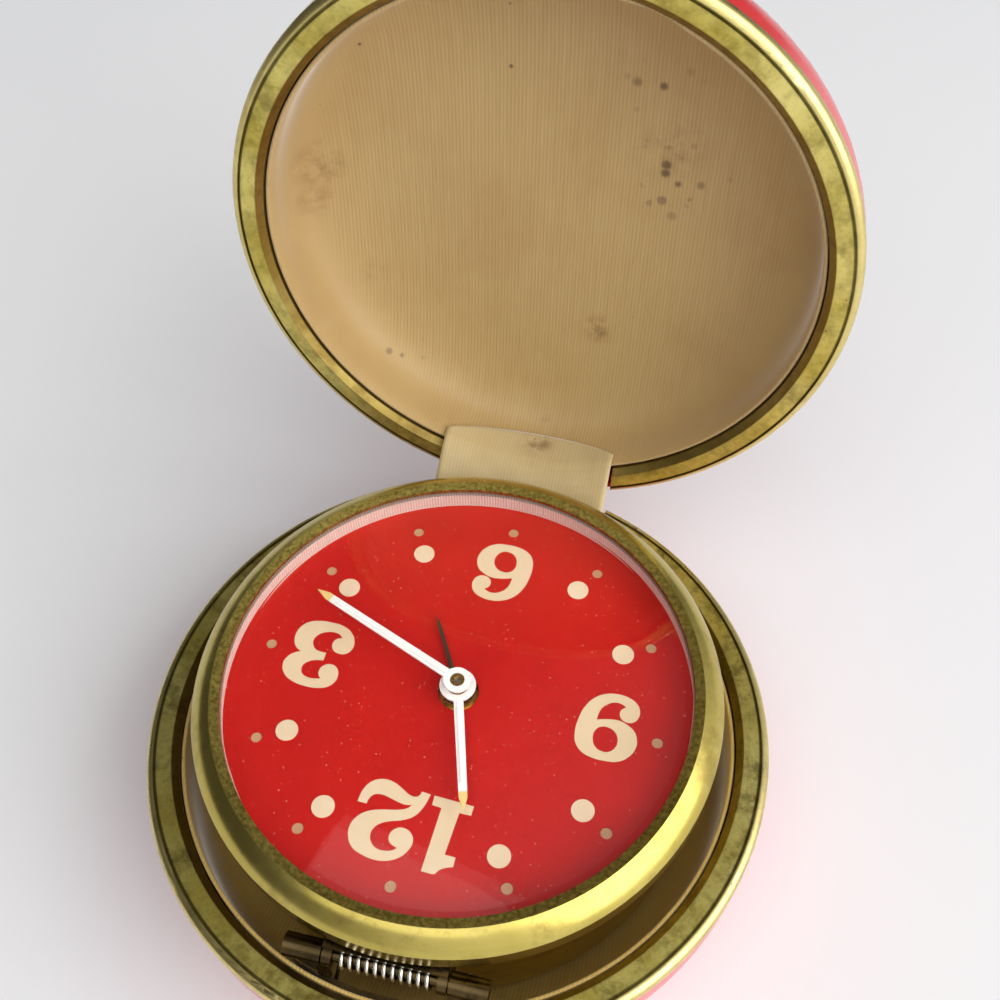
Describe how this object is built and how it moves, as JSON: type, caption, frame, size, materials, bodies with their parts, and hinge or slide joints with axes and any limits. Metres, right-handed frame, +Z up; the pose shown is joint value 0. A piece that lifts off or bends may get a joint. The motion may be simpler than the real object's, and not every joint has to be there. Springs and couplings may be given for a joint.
{
  "type": "folding travel alarm clock",
  "caption": "Round clamshell travel alarm clock: red shells with brass rims, ribbed cloth lining, strap over the lid hinge, and a drum clock on a sprung front hinge.",
  "frame": {"origin": "centre of the base's flat foot", "axes": "+Z up, +Y towards the lid hinge, -Y towards the clock's own hinge"},
  "size_m": [0.08, 0.1018, 0.0976],
  "materials": {
    "red_shell": "gloss",
    "rim_brass": "polished",
    "lining_fabric": "ribbed weave",
    "hinge_bronze": "aged",
    "spring_steel": "bright",
    "clock_brass": "polished",
    "crystal_clear": "clear",
    "dial_red": "satin",
    "ring_pale": "satin",
    "lume_cream": "matt",
    "hand_white": "satin",
    "alarm_dark": "satin",
    "movement_brass": "satin",
    "movement_steel": "satin"
  },
  "bodies": {
    "base": {"base_shell": "red_shell", "base_rim": "rim_brass", "base_lining": "lining_fabric", "hinge_strap": "lining_fabric", "lid_hinge_base_leaf": "hinge_bronze", "lid_hinge_pin": "hinge_bronze", "clock_hinge_bracket": "hinge_bronze", "clock_hinge_pin": "hinge_bronze", "clock_hinge_spring": "spring_steel"},
    "lid": {"lid_shell": "red_shell", "lid_rim": "rim_brass", "lid_lining": "lining_fabric", "lid_hinge_lid_leaf": "hinge_bronze"},
    "clock": {"case_band": "clock_brass", "bezel": "clock_brass", "crystal": "crystal_clear", "dial_ring": "ring_pale", "dial": "dial_red", "lume_dots": "lume_cream", "back_cover": "clock_brass", "front_plate": "movement_brass", "back_plate": "movement_brass", "pillars": "movement_steel", "movement_screws": "movement_steel", "case_posts": "movement_steel", "case_screws": "movement_steel", "clock_hinge_leaf": "hinge_bronze", "hairspring": "spring_steel"},
    "minute": {"centre_arbor": "movement_steel", "cannon_pinion": "movement_brass", "minute_hand": "hand_white", "time_set_knob": "movement_brass"},
    "minute_work": {"minute_wheel": "movement_brass"},
    "hour": {"hour_wheel": "movement_brass", "hour_hand": "hand_white"},
    "alarm_pointer": {"alarm_wheel": "movement_brass", "alarm_hand": "alarm_dark"},
    "alarm_setting": {"alarm_set_arbor": "movement_steel", "alarm_set_knob": "movement_brass"},
    "going_drum": {"going_barrel": "movement_brass", "going_mainspring": "spring_steel"},
    "time_winder": {"going_arbor": "movement_steel", "time_key": "movement_brass"},
    "alarm_drum": {"alarm_barrel": "movement_brass", "alarm_mainspring": "spring_steel"},
    "alarm_winder": {"alarm_arbor": "movement_steel", "alarm_key": "movement_brass"},
    "centre": {"centre_wheel": "movement_brass"},
    "third": {"third_wheel": "movement_brass"},
    "fourth": {"fourth_wheel": "movement_brass"},
    "escape": {"escape_wheel": "movement_brass"},
    "lever": {"pallet_lever": "movement_steel"},
    "balance": {"balance_wheel": "movement_brass"},
    "strike": {"strike_wheel": "movement_brass"},
    "hammer": {"alarm_hammer": "movement_steel"},
    "stop": {"alarm_stop_button": "movement_brass"},
    "regulator": {"regulator_lever": "movement_steel"}
  },
  "joints": [
    {"name": "lid_hinge", "type": "hinge", "parent": "base", "child": "lid", "pos_m": [0, 0.0392, 0.019], "axis": [1, 0, 0], "range_deg": [0, 95.5], "deforming": ["hinge_strap"]},
    {"name": "clock_hinge", "type": "hinge", "parent": "base", "child": "clock", "pos_m": [0, -0.032, 0.0206], "axis": [-1, 0, 0], "range_deg": [-85, 0], "stiffness_Nm_per_rad": 0.01},
    {"name": "minute_spin", "type": "hinge", "parent": "clock", "child": "minute", "pos_m": [0, 0.0012, 0.02], "axis": [0, 0, 1], "continuous": true},
    {"name": "minute_wheel_spin", "type": "hinge", "parent": "clock", "child": "minute_work", "pos_m": [0, 0.0084, 0.02], "axis": [0, 0, 1], "continuous": true},
    {"name": "hour_spin", "type": "hinge", "parent": "clock", "child": "hour", "pos_m": [0, 0.0012, 0.02], "axis": [0, 0, 1], "continuous": true},
    {"name": "alarm_pointer_spin", "type": "hinge", "parent": "clock", "child": "alarm_pointer", "pos_m": [0, 0.0012, 0.02], "axis": [0, 0, 1], "continuous": true},
    {"name": "alarm_set_spin", "type": "hinge", "parent": "clock", "child": "alarm_setting", "pos_m": [0, -0.0096, 0.02], "axis": [0, 0, 1], "continuous": true},
    {"name": "going_barrel_spin", "type": "hinge", "parent": "clock", "child": "going_drum", "pos_m": [-0.01128, -0.0029, 0.02], "axis": [0, 0, 1], "continuous": true},
    {"name": "time_key_spin", "type": "hinge", "parent": "clock", "child": "time_winder", "pos_m": [-0.01128, -0.0029, 0.02], "axis": [0, 0, 1], "continuous": true},
    {"name": "alarm_barrel_spin", "type": "hinge", "parent": "clock", "child": "alarm_drum", "pos_m": [0.01265, -0.00525, 0.02], "axis": [0, 0, 1], "continuous": true},
    {"name": "alarm_key_spin", "type": "hinge", "parent": "clock", "child": "alarm_winder", "pos_m": [0.01265, -0.00525, 0.02], "axis": [0, 0, 1], "continuous": true},
    {"name": "centre_spin", "type": "hinge", "parent": "clock", "child": "centre", "pos_m": [0, 0.0012, 0.02], "axis": [0, 0, 1], "continuous": true},
    {"name": "third_spin", "type": "hinge", "parent": "clock", "child": "third", "pos_m": [0.0051, 0.01003, 0.02], "axis": [0, 0, 1], "continuous": true},
    {"name": "fourth_spin", "type": "hinge", "parent": "clock", "child": "fourth", "pos_m": [-0.00191, 0.01408, 0.02], "axis": [0, 0, 1], "continuous": true},
    {"name": "escape_spin", "type": "hinge", "parent": "clock", "child": "escape", "pos_m": [-0.00856, 0.01526, 0.02], "axis": [0, 0, 1], "continuous": true},
    {"name": "lever_rock", "type": "hinge", "parent": "clock", "child": "lever", "pos_m": [-0.01315, 0.01204, 0.02], "axis": [0, 0, 1], "range_deg": [-5, 5]},
    {"name": "balance_swing", "type": "hinge", "parent": "clock", "child": "balance", "pos_m": [-0.01757, 0.00895, 0.02], "axis": [0, 0, 1], "range_deg": [-150, 150], "stiffness_Nm_per_rad": 0.000002},
    {"name": "strike_spin", "type": "hinge", "parent": "clock", "child": "strike", "pos_m": [0.01845, 0.0048, 0.02], "axis": [0, 0, 1], "continuous": true},
    {"name": "hammer_rock", "type": "hinge", "parent": "clock", "child": "hammer", "pos_m": [0.01738, 0.0109, 0.02], "axis": [0, 0, 1], "range_deg": [-5, 5]},
    {"name": "stop_press", "type": "slide", "parent": "clock", "child": "stop", "axis": [0, 0, 1], "range_m": [0, 0.0015]},
    {"name": "regulator_turn", "type": "hinge", "parent": "clock", "child": "regulator", "pos_m": [-0.01757, 0.00895, 0.02], "axis": [0, 0, 1], "range_deg": [-20, 20]}
  ],
  "couplings": [
    {"joint": "minute_wheel_spin", "follows": "minute_spin", "ratio": -0.33333},
    {"joint": "hour_spin", "follows": "minute_spin", "ratio": 0.083333},
    {"joint": "alarm_pointer_spin", "follows": "alarm_set_spin", "ratio": -0.5},
    {"joint": "third_spin", "follows": "fourth_spin", "ratio": -0.125},
    {"joint": "centre_spin", "follows": "fourth_spin", "ratio": 0.016667},
    {"joint": "going_barrel_spin", "follows": "fourth_spin", "ratio": -0.0033333},
    {"joint": "escape_spin", "follows": "fourth_spin", "ratio": -8},
    {"joint": "alarm_barrel_spin", "follows": "strike_spin", "ratio": -0.16}
  ]
}
